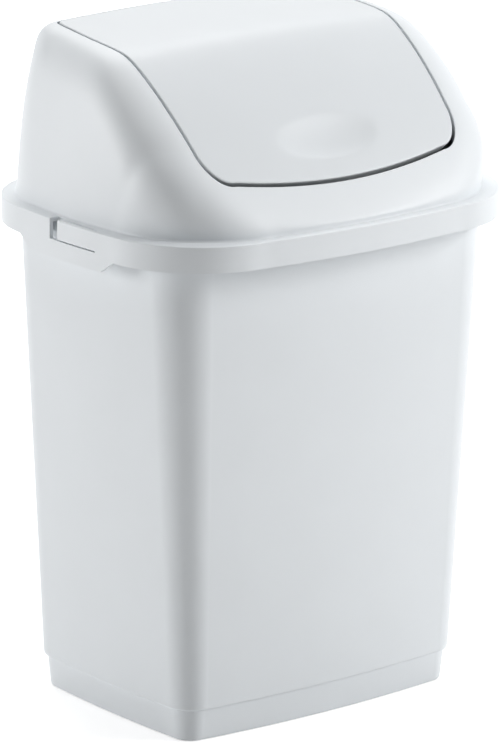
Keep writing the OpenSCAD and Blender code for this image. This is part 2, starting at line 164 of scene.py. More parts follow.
class HoodSizes(bpy.types.PropertyGroup):
    """Sizes of the hood above its collar."""

    height: length("Height", "Height of the flap's bend above the collar", 66.8)
    ledge_side: length("Side ledge", "Collar outside the hood's sides", 6.1)
    ledge_front: length("Front ledge", "Collar outside the hood's front and back", 4.4)
    root_round: length("Root fillet", "Fillet between the hood and its collar", 1)
    corner: length("Front corner", "Front corner radius at the collar", 47)
    corner_top: length("Front corner top", "Front corner radius at the top", 16)
    back_corner: length("Back corner", "Back corner radius at the collar", 42)
    back_corner_top: length("Back corner top", "Back corner radius at the top", 22.5)
    bow: length("Bow", "Outward bow of the front and back", 2.8)
    lean_side: length("Side lean", "How far each side leans in", 10)
    lean_front: length("Front lean", "How far the front leans in", 5)
    lean_back: length("Back lean", "How far the back leans in", 15.5)
    lip: length("Lip", "Depth of the wall round the opening", 10)
    rest_width: length("Rest width", "Width of each ledge that the flap rests on", 20)
    rest_place: length("Rest place", "Distance of each ledge from the middle", 40)
    rest_reach: length("Rest reach", "How far the ledges reach in", 4)
    rest_gap: length("Rest gap", "Air between the ledges and the flap", 0.3)
    deep_skirt: length("Deep skirt", "Extra depth of the skirt at the latches", 5.1)
    deep_half: length("Deep length", "Half length of the deeper skirt", 24)
    deep_slant: length("Deep slant", "Length of the deeper skirt's slanted ends", 7)


class FlapSizes(bpy.types.PropertyGroup):
    """Sizes of the flap, its opening, and the surface that both follow."""

    open_side: length("Opening side", "From the collar's side to the opening", 29.1)
    open_front: length("Opening front", "From the collar's front to the opening", 15.3)
    open_back: length("Opening back", "From the collar's back to the opening", 30.3)
    open_height: length("Opening height", "From the collar up to the opening's front edge", 15.2)
    open_bow: length("Opening bow", "Outward bow of the opening's front edge", 4.4)
    open_bow_side: length("Opening side bow", "Outward bow of the opening's sides", 2)
    open_corner: length("Opening corner", "Radius of the opening's front corners", 12.6)
    open_corner_back: length("Opening back corner", "Radius of the opening's back corners", 4)
    top: length("Top", "Length of the nearly level top", 50.6)
    soft: length("Softness", "Softness of the bend", 1.3)
    crown: length("Crown", "Crown from side to side", 1.6)
    gap: length("Gap", "Gap round the flap", 1)
    edge: length("Edge rounding", "Rounding of the edges at the gap", 0.6)
    flange: length("Flange", "Depth of the flap's flange", 7)
    recess_half: length("Recess half length", "Half length of the push recess", 26)
    recess_width: length("Recess half width", "Half width of the push recess from above", 7.4)
    recess_depth: length("Recess depth", "Depth of the push recess", 2.6)
    recess_place: length("Recess place", "From the flap's front edge to the recess", 12.9)
    stub: length("Stub", "Radius of the flap's stubs", 2.5)
    stub_length: length("Stub length", "Length of each stub past the flap", 4.4)
    stub_fit: length("Stub clearance", "Radial clearance of the stubs", 0.08)
    boss_wall: length("Boss wall", "Wall round a stub's bore", 2.2)
    rise: FloatProperty(
        name="Rise", description="Rise of the top towards the back", default=0.08, subtype="FACTOR"
    )
    fall: FloatProperty(
        name="Fall", description="Fall of the hood behind the opening", default=0.34,
        subtype="FACTOR",
    )
    straight: FloatProperty(
        name="Straight share", description="Straight share of the front's drop", default=0.61,
        min=0.0, max=1.0, subtype="FACTOR",
    )


class LatchSizes(bpy.types.PropertyGroup):
    """Sizes of the spring tongues and the windows that free them."""

    slot: length("Slot", "Open slot at the tongue's free end", 5.2)
    slot_ledge: length("Slot ledge", "Ledge left between the slot and the hood's fillet", 0.6)
    cut: length("Cut", "Gap along the tongue's long edges", 0.6)
    cut_ledge: length("Cut ledge", "Ledge left between the top cut and the hood's fillet", 2.1)
    catch: length("Catch", "Length of the catch along the tongue", 8)
    catch_height: length("Catch height", "Height of the catch at its root", 1)
    catch_back: length("Catch place", "Distance of the catch from the tongue's free end", 1)
    hook: length("Hook", "How far the catch hooks under the rim", 1.2)
    catch_gap: length("Catch gap", "Air between the catch and the rim's lip", 0.35)


class FinishColours(bpy.types.PropertyGroup):
    """Colours of the plastics."""

    shell: colour("Shell", "Colour of the bucket, the hood and the latches", SHELL_COLOUR)
    flap: colour("Flap", "Colour of the flap", FLAP_COLOUR)


def sizes(name):
    """One of the scene's groups of sizes."""
    return getattr(bpy.context.scene, "waste_bin_" + name)


# ---- Outlines seen from above ------------------------------------------------


def section(half_width, front, back, corners, bows):
    """An outline: extents, front and back corner radii, and front, back and side bows."""
    return np.array([half_width, front, back, *corners, *bows])


def inset(outline, distance):
    """The outline drawn in by a distance, or let out where it is negative."""
    drawn = outline.copy()
    drawn[:3] -= distance
    drawn[3:5] = np.maximum(drawn[3:5] - distance, SMALLEST_CORNER)
    return drawn


def bowed_side(start, end, bow):
    """Points of a side from start up to, and without, end; it bows out to its right."""
    start, end = np.array(start), np.array(end)
    share = np.arange(SIDE_STEPS)[:, None] / SIDE_STEPS
    along = end - start
    outwards = np.array([along[1], -along[0]]) / np.linalg.norm(along)
    return start + along * share + outwards * bow * 4 * share * (1 - share)


def corner_arc(x, y, radius, quarter):
    """Points of a corner's quarter turn, without its last one."""
    angle = np.radians(90 * (quarter + np.arange(CORNER_STEPS) / CORNER_STEPS))
    return np.stack([x + radius * np.cos(angle), y + radius * np.sin(angle)], 1)


def outline_points(outline):
    """The outline's points, anticlockwise from above, from the right end of its back."""
    half_width, front, back, r_front, r_back, bow_front, bow_back, bow_side = outline
    w, f, b = half_width - bow_side, front - bow_front, back - bow_back
    return np.concatenate([
        bowed_side((w - r_back, b), (r_back - w, b), bow_back),
        corner_arc(r_back - w, b - r_back, r_back, 1),
        bowed_side((-w, b - r_back), (-w, r_front - f), bow_side),
        corner_arc(r_front - w, r_front - f, r_front, 2),
        bowed_side((r_front - w, -f), (w - r_front, -f), bow_front),
        corner_arc(w - r_front, r_front - f, r_front, 3),
        bowed_side((w, r_front - f), (w, b - r_back), bow_side),
        corner_arc(w - r_back, b - r_back, r_back, 0),
    ])


def side_x(outline, y):
    """Half width of an outline at depth y, on its bowed side."""
    start = outline[3] + outline[5] - outline[1]
    end = outline[2] - outline[6] - outline[4]
    share = (y - start) / (end - start)
    return outline[0] - outline[7] + outline[7] * 4 * share * (1 - share)


def level(outline, z):
    """A ring of the outline's points at height z."""
    points = outline_points(outline)
    return np.column_stack([points, np.full(len(points), z)])


def quarter_turn():
    """Angles of a quarter turn, for rounded edges."""
    return np.radians(np.linspace(0, 90, ROUND_STEPS + 1))


def rounded(outline, z, radius):
    """Rings that round an edge, from the wall up to the face at z."""
    return [
        level(inset(outline, radius * (1 - math.cos(a))), z - radius * (1 - math.sin(a)))
        for a in quarter_turn()
    ]


# ---- The forms of this bin ---------------------------------------------------


class Form:
    """Outlines, heights and the shared top surface, worked out from the sizes."""

    def __init__(self):
        moulding, bucket, hood, flap = (sizes(n) for n in ("moulding", "bucket", "hood", "flap"))
        self.wall = moulding.wall
        half_width, half_depth = HOOD_HIGH.x, HOOD_HIGH.y
        self.collar_z = RIM_HEIGHT + moulding.wall + moulding.seat_gap
        self.skirt_z = self.collar_z - moulding.skirt
        bows = (moulding.bow_front, moulding.bow_front, moulding.bow_side)
        corners = (moulding.collar_corner,) * 2
        self.collar = section(half_width, half_depth, half_depth, corners, bows)
        self.rim = inset(self.collar, moulding.wall + moulding.rim_gap)
        width, depth = half_width - bucket.reach_side, half_depth - bucket.reach_front
        self.bucket_top = section(width, depth, depth, (bucket.corner_top,) * 2, bows)
        width, depth = half_width - hood.ledge_side, half_depth - hood.ledge_front
        bows = (hood.bow, hood.bow, moulding.bow_side)
        self.hood_base = section(width, depth, depth, (hood.corner, hood.back_corner), bows)
        self.hood_top = section(
            width - hood.lean_side, depth - hood.lean_front, depth - hood.lean_back,
            (hood.corner_top, hood.back_corner_top), bows,
        )
        gap_line = section(
            half_width - flap.open_side, half_depth - flap.open_front, half_depth - flap.open_back,
            (flap.open_corner, flap.open_corner_back), (flap.open_bow, 0, flap.open_bow_side),
        )
        self.gap_line = gap_line
        self.opening = inset(gap_line, -flap.gap / 2)
        self.flap_edge = inset(gap_line, flap.gap / 2)
        self.hood_base_z = self.collar_z + hood.root_round
        self.hood_top_z = self.collar_z + hood.height + flap.crown
        self.bend_y = gap_line[2] - flap.top
        self.bend_z = self.collar_z + hood.height
        self.front_run = self.bend_y + gap_line[1]
        self.front_drop = hood.height - flap.open_height
        self.flap = flap

    def face_z(self, x, y):
        """The crowned, bent surface that the flap and the top of the hood share."""
        flap = self.flap
        run = (self.bend_y - y) / self.front_run
        top_y = np.minimum(y, self.gap_line[2])
        top = self.bend_z + flap.rise * (top_y - self.bend_y) - flap.fall * (y - top_y)
        drop = flap.straight * run + (1 - flap.straight) * np.maximum(run, 0) ** 2
        slope = self.bend_z - self.front_drop * drop
        soft = flap.soft * np.log1p(np.exp(-np.abs(top - slope) / flap.soft))
        return np.minimum(top, slope) - soft + flap.crown * (1 - (x / self.gap_line[0]) ** 2)

    def slope(self, x, y):
        """How steeply the surface rises towards the back."""
        ahead, behind = self.face_z(x, y - SLOPE_STEP), self.face_z(x, y + SLOPE_STEP)
        return (behind - ahead) / (2 * SLOPE_STEP)

    def under(self, x, y, distance):
        """The same surface, lowered by a thickness measured square to it."""
        return self.face_z(x, y) - distance * np.hypot(1, self.slope(x, y))

    def flange_points(self, x, y, distance):
        """Points under the surface: square to it in front, straight down behind its bend."""
        steep = self.slope(x, y) * np.clip((self.bend_y - y) / FLANGE_TURN, 0, 1)
        reach = distance / np.hypot(1, steep)
        return np.column_stack([x, y + steep * reach, self.face_z(x, y) - reach])

    def on_face(self, outline, drop):
        """A ring of the outline's points, lowered below the surface."""
        x, y = outline_points(outline).T
        return np.column_stack([x, y, self.face_z(x, y) - drop])

    def hood_wall(self, z, distance):
        """Points of the hood's wall, drawn in by a distance, each at its own height."""
        share = np.clip((z - self.hood_base_z) / (self.hood_top_z - self.hood_base_z), 0, 1)
        low, high = self.hood_base, self.hood_top
        lean = np.stack([share**LEAN_SIDE, share**LEAN_FRONT, share**LEAN_BACK] + [share] * 5)
        spans = low[:, None] + (high - low)[:, None] * lean
        rows = [outline_points(inset(spans[:, i], distance))[i] for i in range(len(z))]
        return np.column_stack([np.array(rows), z])

    def hood_skin(self, foot_z, distance, edge):
        """Rings up the hood's wall and over the shoulder to the opening's edge."""
        count = len(edge)
        low, high = np.full(count, self.collar_z), np.full(count, self.hood_top_z + HEADROOM)
        for _ in range(SOLVE_STEPS):
            middle = (low + high) / 2
            x, y, z = self.hood_wall(middle, distance).T
            above = z > self.under(x, y, distance)
            high, low = np.where(above, middle, high), np.where(above, low, middle)
        knee = self.hood_wall(low, distance)
        shoulder = np.linalg.norm(knee - edge, axis=1)
        turn_z = np.maximum(knee[:, 2] - shoulder, self.hood_base_z + LEAST_WALL)
        turn = self.hood_wall(turn_z, distance)
        rings = [
            self.hood_wall(foot_z + (turn_z - foot_z) * step / WALL_STEPS, distance)
            for step in range(WALL_STEPS)
        ]
        for share in np.linspace(0, 1, SHOULDER_STEPS + 1):
            rise, over = turn + (knee - turn) * share, knee + (edge - knee) * share
            rings.append(rise + (over - rise) * share)
        return rings

    def collar_outside(self, low_z):
        """The collar's outer rings, up and over its rounded edge."""
        edge = rounded(self.collar, self.collar_z, sizes("moulding").collar_round)
        return [level(self.collar, low_z)] + edge

    def collar_inside(self, low_z):
        """The collar's inner rings, down to its lower edge."""
        inner = inset(self.collar, self.wall)
        return [level(inner, self.collar_z - self.wall), level(inner, low_z)]


# ---- Meshes ------------------------------------------------------------------


def mesh_object(name, vertices, faces):
    """A new object at the origin with its place in its mesh."""
    mesh = bpy.data.meshes.new(name)
    mesh.from_pydata([tuple(v) for v in vertices], [], [tuple(f) for f in faces])
    piece = bpy.data.objects.new(name, mesh)
    bpy.context.scene.collection.objects.link(piece)
    return piece


def ring_skin(name, rings):
    """A closed skin over a loop of rings."""
    count = len(rings[0])
    total = count * len(rings)
    faces = []
    for start in range(0, total, count):
        for i in range(count):
            j = (i + 1) % count
            after = (start + count) % total
            faces.append((after + j, after + i, start + i, start + j))
    return mesh_object(name, np.concatenate(rings), faces)


def box(name, low, high):
    """A plain block, used to cut and to join."""
    xs, ys, zs = zip(low, high)
    corners = [(x, y, z) for x in xs for y in ys for z in zs]
    faces = [(0, 1, 3, 2), (4, 6, 7, 5), (0, 4, 5, 1), (2, 3, 7, 6), (0, 2, 6, 4), (1, 5, 7, 3)]
    return mesh_object(name, corners, faces)


def across_cylinder(name, radius, start, end):
    """A cylinder along X at the flap's pivot."""
    form = bmesh.new()
    middle = Matrix.Translation(((start + end) / 2, PIVOT.y, PIVOT.z))
    bmesh.ops.create_cone(
        form, cap_ends=True, segments=STUB_SEGMENTS, radius1=radius, radius2=radius,
        depth=abs(end - start), matrix=middle @ Matrix.Rotation(math.radians(90), 4, "Y"),
    )
    piece = mesh_object(name, [], [])
    form.to_mesh(piece.data)
    form.free()
    return piece


def prism(name, low_end, high_end):
    """A block between two outlines that have their points in the same order."""
    count = len(low_end)
    faces = [tuple(range(count)), tuple(range(count, 2 * count))]
    faces += [(i, (i + 1) % count, count + (i + 1) % count, count + i) for i in range(count)]
    piece = mesh_object(name, [*low_end, *high_end], faces)
    face_outwards(piece)
    return piece


def face_outwards(piece):
    """Turns every face of a closed mesh outwards."""
    form = bmesh.new()
    form.from_mesh(piece.data)
    bmesh.ops.recalc_face_normals(form, faces=form.faces)
    form.to_mesh(piece.data)
    form.free()


def combine(piece, tool, operation):
    """Cuts, joins or intersects a piece with a tool, which is then removed."""
    modifier = piece.modifiers.new("combine", "BOOLEAN")
    modifier.solver = "EXACT"
    modifier.operation = operation
    modifier.object = tool
    settle(piece)
    bpy.data.objects.remove(tool)


def settle(piece):
    """Turns a piece's modifiers into plain mesh."""
    bpy.context.view_layer.update()
    graph = bpy.context.evaluated_depsgraph_get()
    mesh = bpy.data.meshes.new_from_object(piece.evaluated_get(graph))
    piece.modifiers.clear()
    old, piece.data = piece.data, mesh
    bpy.data.meshes.remove(old)
    mesh.name = piece.name


def finish_piece(piece, material, body, nodes):
    """Gives a moulding its shading and plastic, and puts it in its node's place."""
    piece.data.shade_smooth()
    piece.data.set_sharp_from_angle(angle=math.radians(SHARP_ANGLE))
    weighted = piece.modifiers.new("flat faces stay flat", "WEIGHTED_NORMAL")
    weighted.keep_sharp = True
    settle(piece)
    piece.data.materials.clear()
    piece.data.materials.append(material)
    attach(piece, body)
    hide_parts(*nodes)


# ---- Nodes -------------------------------------------------------------------


def add(tree, kind, inputs=(), **settings):
    """Adds a node with its settings, and links or sets its inputs, by place or by name."""
    node = tree.nodes.new(kind)
    for key, value in settings.items():
        setattr(node, key, value)
    pairs = inputs.items() if isinstance(inputs, dict) else enumerate(inputs)
    for key, value in pairs:
        if isinstance(value, bpy.types.NodeSocket):
            tree.links.new(value, node.inputs[key])
        else:
            node.inputs[key].default_value = value
    return node


def work_out(tree, values, formulas):
    """Adds a Math node for each (name, operation, inputs...), and keeps its result by name."""
    for name, operation, *inputs in formulas:
        sources = [values.get(i, i) if isinstance(i, str) else i for i in inputs]
        values[name] = add(tree, "ShaderNodeMath", sources, operation=operation).outputs[0]


def new_form_tree(name, inputs, outputs):
    """A Geometry Nodes tree with named inputs and outputs."""
    tree = bpy.data.node_groups.new(name, "GeometryNodeTree")
    for label, kind in inputs:
        tree.interface.new_socket(label, in_out="INPUT", socket_type=kind)
    for label, kind in outputs:
        tree.interface.new_socket(label, in_out="OUTPUT", socket_type=kind)
    start = add(tree, "NodeGroupInput")
    return tree, {label: start.outputs[label] for label, _ in inputs}


HALF_SIDE = SIDE_STEPS // 2
HALF_TURN = HALF_SIDE + CORNER_STEPS + HALF_SIDE
DRAWN_PARTS = ("Width", "Depth", "Corner")
SECTION_PARTS = (*DRAWN_PARTS, "Front Bow", "Side Bow")

# Each quarter of the outline runs along half a side, round the corner and
# along half the front; the other three quarters mirror it
OUTLINE_FORMULAS = (
    ("step", "PINGPONG", "Step", HALF_TURN),
    ("side", "DIVIDE", "step", HALF_SIDE),
    ("side", "MINIMUM", "side", 1.0),
    ("arc", "SUBTRACT", "step", HALF_SIDE),
    ("arc", "DIVIDE", "arc", CORNER_STEPS),
    ("arc", "MINIMUM", "arc", 1.0),
    ("arc", "MAXIMUM", "arc", 0.0),
    ("angle", "MULTIPLY", "arc", math.pi / 2),
    ("cosine", "COSINE", "angle"),
    ("sine", "SINE", "angle"),
    ("front", "SUBTRACT", 2 * HALF_SIDE + CORNER_STEPS, "step"),
    ("front", "DIVIDE", "front", HALF_SIDE),
    ("front", "MINIMUM", "front", 1.0),
    ("width_run", "SUBTRACT", "Width", "Side Bow"),
    ("width_run", "SUBTRACT", "width_run", "Corner"),
    ("depth_run", "SUBTRACT", "Depth", "Front Bow"),
    ("depth_run", "SUBTRACT", "depth_run", "Corner"),
    ("side_bulge", "MULTIPLY", "side", "side"),
    ("side_bulge", "SUBTRACT", 1.0, "side_bulge"),
    ("front_bulge", "MULTIPLY", "front", "front"),
    ("front_bulge", "SUBTRACT", 1.0, "front_bulge"),
    ("x", "MULTIPLY", "width_run", "front"),
    ("x", "MULTIPLY_ADD", "Corner", "cosine", "x"),
    ("x", "MULTIPLY_ADD", "Side Bow", "side_bulge", "x"),
    ("y", "MULTIPLY", "depth_run", "side"),
    ("y", "MULTIPLY_ADD", "Corner", "sine", "y"),
    ("y", "MULTIPLY_ADD", "Front Bow", "front_bulge", "y"),
    ("mirror_x", "SUBTRACT", "Step", 2 * HALF_TURN),
    ("mirror_x", "ABSOLUTE", "mirror_x"),
    ("mirror_x", "SUBTRACT", "mirror_x", HALF_TURN),
    ("mirror_x", "SIGN", "mirror_x"),
    ("mirror_y", "SUBTRACT", 2 * HALF_TURN, "Step"),
    ("mirror_y", "SIGN", "mirror_y"),
    ("x", "MULTIPLY", "x", "mirror_x"),
    ("y", "MULTIPLY", "y", "mirror_y"),
)

# Share of the way from a band's first section to its last, inwards and in
# height: even on a straight band, and a quarter turn on a rounded one
BAND_FORMULAS = (
    ("Step", "ADD", "grid_x", 0.5),
    ("Step", "MULTIPLY", "Step", 4 * HALF_TURN),
    ("Step", "ROUND", "Step"),
    ("even", "ADD", "grid_y", 0.5),
    ("angle", "MULTIPLY", "even", math.pi / 2),
    ("turned_in", "COSINE", "angle"),
    ("turned_in", "SUBTRACT", 1.0, "turned_in"),
    ("turned_in", "SUBTRACT", "turned_in", "even"),
    ("inwards", "MULTIPLY_ADD", "turned_in", "Rounded", "even"),
    ("turned_up", "SINE", "angle"),
    ("turned_up", "SUBTRACT", "turned_up", "even"),
    ("upwards", "MULTIPLY_ADD", "turned_up", "Rounded", "even"),
)


def band_tree():
    """Node group: one band of a moulding between two outlines at two heights."""
    labels = [f"{part} {end}" for end in ("From", "To") for part in SECTION_PARTS + ("Height",)]
    inputs = [(label, "NodeSocketFloat") for label in labels]
    inputs += [("Rounded", "NodeSocketFloat"), ("Rows", "NodeSocketInt")]
    tree, values = new_form_tree("moulded_band", inputs, [("Band", "NodeSocketGeometry")])
    rows = add(tree, "ShaderNodeMath", [values["Rows"], 1.0], operation="ADD").outputs[0]
    grid = add(tree, "GeometryNodeMeshGrid", {"Vertices X": 4 * HALF_TURN + 1, "Vertices Y": rows})
    place = add(tree, "ShaderNodeSeparateXYZ", [add(tree, "GeometryNodeInputPosition").outputs[0]])
    values["grid_x"], values["grid_y"] = place.outputs[0], place.outputs[1]
    work_out(tree, values, BAND_FORMULAS)
    for part in SECTION_PARTS + ("Height",):
        share = "upwards" if part == "Height" else "inwards"
        work_out(tree, values, (
            (part, "SUBTRACT", f"{part} To", f"{part} From"),
            (part, "MULTIPLY_ADD", part, share, f"{part} From"),
        ))
    work_out(tree, values, OUTLINE_FORMULAS)
    point = add(tree, "ShaderNodeCombineXYZ", [values["x"], values["y"], values["Height"]])
    moved = add(
        tree, "GeometryNodeSetPosition", {"Geometry": grid.outputs[0], "Position": point.outputs[0]}
    )
    add(tree, "NodeGroupOutput", [moved.outputs[0]])
    return tree


# Sections and heights of the bucket that follow from its named sizes
BUCKET_FORMULAS = (
    ("Foot Top Width", "SUBTRACT", "Low Width", "Foot Step"),
    ("Foot Top Depth", "SUBTRACT", "Low Depth", "Foot Step"),
    ("Foot Top Corner", "SUBTRACT", "Low Corner", "Foot Step"),
    ("Foot Low Width", "SUBTRACT", "Foot Top Width", "Foot Draft"),
    ("Foot Low Depth", "SUBTRACT", "Foot Top Depth", "Foot Draft"),
    ("Foot Low Corner", "SUBTRACT", "Foot Top Corner", "Foot Draft"),
    ("minus_rim_round", "MULTIPLY", "Rim Rounding", -1.0),
    ("mouth_top", "ADD", "Wall", "minus_rim_round"),
    ("foot_inside_round", "ADD", "Wall", "Floor Rounding"),
    ("body_start", "ADD", "Foot Height", "Step Rounding"),
    ("rim_under", "SUBTRACT", "Rim Height", "Wall"),
    ("lip_end", "SUBTRACT", "Rim Height", "Lip Depth"),
    ("rim_turn", "SUBTRACT", "Rim Height", "Rim Rounding"),
    ("half_wall", "MULTIPLY", "Wall", 0.5),
    ("inside_start", "ADD", "body_start", "half_wall"),
    ("inside_foot", "SUBTRACT", "Foot Height", "half_wall"),
    ("floor", "ADD", "Base Recess", "Wall"),
    ("floor_start", "ADD", "floor", "Floor Rounding"),
)

# The bucket's profile, from the middle of its underside, out, up, over the
# rim and down to the middle of its floor: section, drawn in by, height, then
# whether the band that ends there is rounded and how many rows it has
BUCKET_PROFILE = (
    ("Centre", 0.0, "Base Recess", 0.0, 1),
    ("Foot Low", "Foot Ring", "Base Recess", 0.0, 1),
    ("Foot Low", "Foot Ring", 0.0, 0.0, 1),
    ("Foot Low", "Foot Rounding", 0.0, 0.0, 1),
    ("Foot Low", 0.0, "Foot Rounding", -1.0, ROUND_STEPS),
    ("Foot Top", 0.0, "Foot Height", 0.0, FOOT_STEPS),
    ("Low", "Step Rounding", "Foot Height", 0.0, 1),
    ("Low", 0.0, "body_start", -1.0, ROUND_STEPS),
    ("Top", 0.0, "rim_under", 0.0, WALL_STEPS),
    ("Rim", "Wall", "rim_under", 0.0, 1),
    ("Rim", "Wall", "lip_end", 0.0, 1),
    ("Rim", 0.0, "lip_end", 0.0, 1),
    ("Rim", 0.0, "rim_turn", 0.0, 1),
    ("Rim", "Rim Rounding", "Rim Height", 1.0, ROUND_STEPS),
    ("Top", "mouth_top", "Rim Height", 0.0, 1),
    ("Top", "Wall", "rim_turn", -1.0, ROUND_STEPS),
    ("Low", "Wall", "inside_start", 0.0, WALL_STEPS),
    ("Foot Top", "Wall", "inside_foot", 0.0, 1),
    ("Foot Low", "Wall", "floor_start", 0.0, 1),
    ("Foot Low", "foot_inside_round", "floor", 1.0, ROUND_STEPS),
    ("Centre", 0.0, "floor", 0.0, 1),
)


def bucket_tree(material):
    """Node tree: the bucket, as bands that follow its profile all round its outline."""
    labels = [f"{name} {part}" for name in ("Top", "Low", "Rim") for part in DRAWN_PARTS]
    labels += [
        "Front Bow", "Side Bow", "Wall", "Foot Step", "Foot Draft", "Foot Height", "Foot Rounding",
        "Foot Ring", "Base Recess", "Step Rounding", "Rim Height", "Lip Depth", "Rim Rounding",
        "Floor Rounding",
    ]
    inputs = [("Geometry", "NodeSocketGeometry")] + [(label, "NodeSocketFloat") for label in labels]
    tree, values = new_form_tree("tapered_bucket", inputs, [("Geometry", "NodeSocketGeometry")])
    work_out(tree, values, BUCKET_FORMULAS)
    band = band_tree()
    join = add(tree, "GeometryNodeJoinGeometry")

    def station(name, drawn_in, height):
        """The sockets of one section of the profile, drawn in and at its height."""
        if name == "Centre":
            return [0.0] * len(SECTION_PARTS) + [values.get(height, height)]
        parts = []
        for part in DRAWN_PARTS:
            work_out(tree, values, (("drawn", "SUBTRACT", f"{name} {part}", drawn_in),))
            parts.append(values["drawn"])
        work_out(tree, values, (("drawn", "MAXIMUM", "drawn", SMALLEST_CORNER),))
        parts[2] = values["drawn"]
        return parts + [values["Front Bow"], values["Side Bow"], values.get(height, height)]

    stations = [station(*row[:3]) for row in BUCKET_PROFILE]
    for start, end, row in zip(stations, stations[1:], BUCKET_PROFILE[1:]):
        rounded_by, rows = row[3:]
        node = add(tree, "GeometryNodeGroup", node_tree=band)
        for socket, value in zip(node.inputs, start + end + [rounded_by, rows]):
            if isinstance(value, bpy.types.NodeSocket):
                tree.links.new(value, socket)
            else:
                socket.default_value = value
        tree.links.new(node.outputs[0], join.inputs[0])
    merged = add(
        tree, "GeometryNodeMergeByDistance",
        {"Geometry": join.outputs[0], "Distance": MERGE_DISTANCE},
    )
    real = add(tree, "GeometryNodeRealizeInstances", [merged.outputs[0]])
    coated = add(
        tree, "GeometryNodeSetMaterial", {"Geometry": real.outputs[0], "Material": material}
    )
    add(tree, "NodeGroupOutput", [coated.outputs[0]])
    return tree


# ---- Plastics ----------------------------------------------------------------

# Polypropylene, injection-moulded in a spark-eroded mould. The moulding's slow
# shrinkage waves make its sheen and colour a little uneven on wide walls, and the
# mould's fine grain makes it satin instead of glossy. The real grain, of about
# 0.1 mm, is too fine to show, so it is drawn coarser.
WAVE_SPACING, WAVE_DEPTH, WAVE_BUMP = 28.0 * MM, 0.4 * MM, 0.1
GRAIN_SPACING, GRAIN_DEPTH, GRAIN_BUMP = 0.45 * MM, 0.02 * MM, 0.12
# Share by which the waves lighten and darken the colour
TINT_SPREAD = 0.015
# Roughness in the grain's hollows and on its tips
SATIN = (0.40, 0.50)
PLASTIC_IOR = 1.49


def polypropylene(name, white):
    """Injection-moulded polypropylene: satin, with a sheen that the walls' waves make uneven."""
    material = bpy.data.materials.new(name)
    material.use_nodes = True
    tree = material.node_tree
    tree.nodes.clear()
    place = add(tree, "ShaderNodeTexCoord").outputs["Object"]
    waves, grain = (
        add(tree, "ShaderNodeTexNoise", {
            "Vector": place, "Scale": 1 / spacing, "Detail": detail,
        }).outputs[0]
        for spacing, detail in ((WAVE_SPACING, 1.0), (GRAIN_SPACING, 2.0))
    )
    pale = [min(1.0, c * (1 + TINT_SPREAD)) for c in white]
    deep = [c * (1 - TINT_SPREAD) for c in white]
    tint = add(tree, "ShaderNodeMix", {0: waves, 6: (*deep, 1), 7: (*pale, 1)}, data_type="RGBA")
    gloss = add(tree, "ShaderNodeMapRange", {0: grain, 3: SATIN[0], 4: SATIN[1]})
    wavy = add(
        tree, "ShaderNodeBump", {"Height": waves, "Strength": WAVE_BUMP, "Distance": WAVE_DEPTH}
    )
    fine = add(tree, "ShaderNodeBump", {
        "Height": grain, "Strength": GRAIN_BUMP, "Distance": GRAIN_DEPTH, "Normal": wavy.outputs[0],
    })
    shader = add(tree, "ShaderNodeBsdfPrincipled", {
        "Base Color": tint.outputs[2], "Roughness": gloss.outputs[0], "IOR": PLASTIC_IOR,
        "Normal": fine.outputs[0],
    })
    add(tree, "ShaderNodeOutputMaterial", [shader.outputs[0]])
    return material


def shell_plastic():
    """The bucket's and hood's plastic, made once."""
    name = "white_polypropylene_shell"
    return bpy.data.materials.get(name) or polypropylene(name, sizes("finish").shell)


# ---- Pieces ------------------------------------------------------------------


class WASTEBIN_OT_bucket(bpy.types.Operator):
    """Build the tapered bucket with its foot band and rim"""

    bl_idname = "wastebin.bucket"
    bl_label = "Bucket"

    def execute(self, context):
        form, bucket, moulding = Form(), sizes("bucket"), sizes("moulding")
        top_width, top_depth = form.bucket_top[:2]
        values = {
            "Top Width": top_width, "Top Depth": top_depth, "Top Corner": bucket.corner_top,
            "Low Width": top_width - bucket.lean_side, "Low Depth": top_depth - bucket.lean_front,
            "Low Corner": bucket.corner_low,
            "Rim Width": form.rim[0], "Rim Depth": form.rim[1], "Rim Corner": form.rim[3],
            "Front Bow": moulding.bow_front, "Side Bow": moulding.bow_side, "Wall": moulding.wall,
            "Foot Step": bucket.foot_step, "Foot Draft": bucket.foot_draft,
            "Foot Height": bucket.foot_height, "Foot Rounding": bucket.foot_round,
            "Foot Ring": bucket.foot_ring, "Base Recess": bucket.recess,
            "Step Rounding": bucket.step_round, "Rim Height": RIM_HEIGHT,
            "Lip Depth": bucket.rim_lip, "Rim Rounding": bucket.rim_round,
            "Floor Rounding": bucket.floor_round,
        }
        piece = mesh_object("bucket", [], [])
        modifier = piece.modifiers.new("bucket form", "NODES")
        modifier.node_group = bucket_tree(shell_plastic())
        for socket in modifier.node_group.interface.items_tree:
            if socket.name in values:
                modifier[socket.identifier] = float(values[socket.name])
        settle(piece)
        finish_piece(piece, shell_plastic(), "bin", ["bin_body"])
        return {"FINISHED"}


def collar_cut(form, hand, fold, start_y, end_y, low_z):
    """Block that cuts the collar on the right (1) or left (-1) to a depth of fold."""
    low_x, high_x = sorted((hand * (form.collar[0] - fold), hand * (form.collar[0] + CUT)))
    return box("cut", (low_x, start_y, low_z), (high_x, end_y, form.collar_z + CUT))


def tongue_fold():
    """Width of the ledge that belongs to each spring tongue, with its wall."""
    hood, latch = sizes("hood"), sizes("latch")
    return hood.ledge_side - hood.root_round - latch.cut - latch.cut_ledge


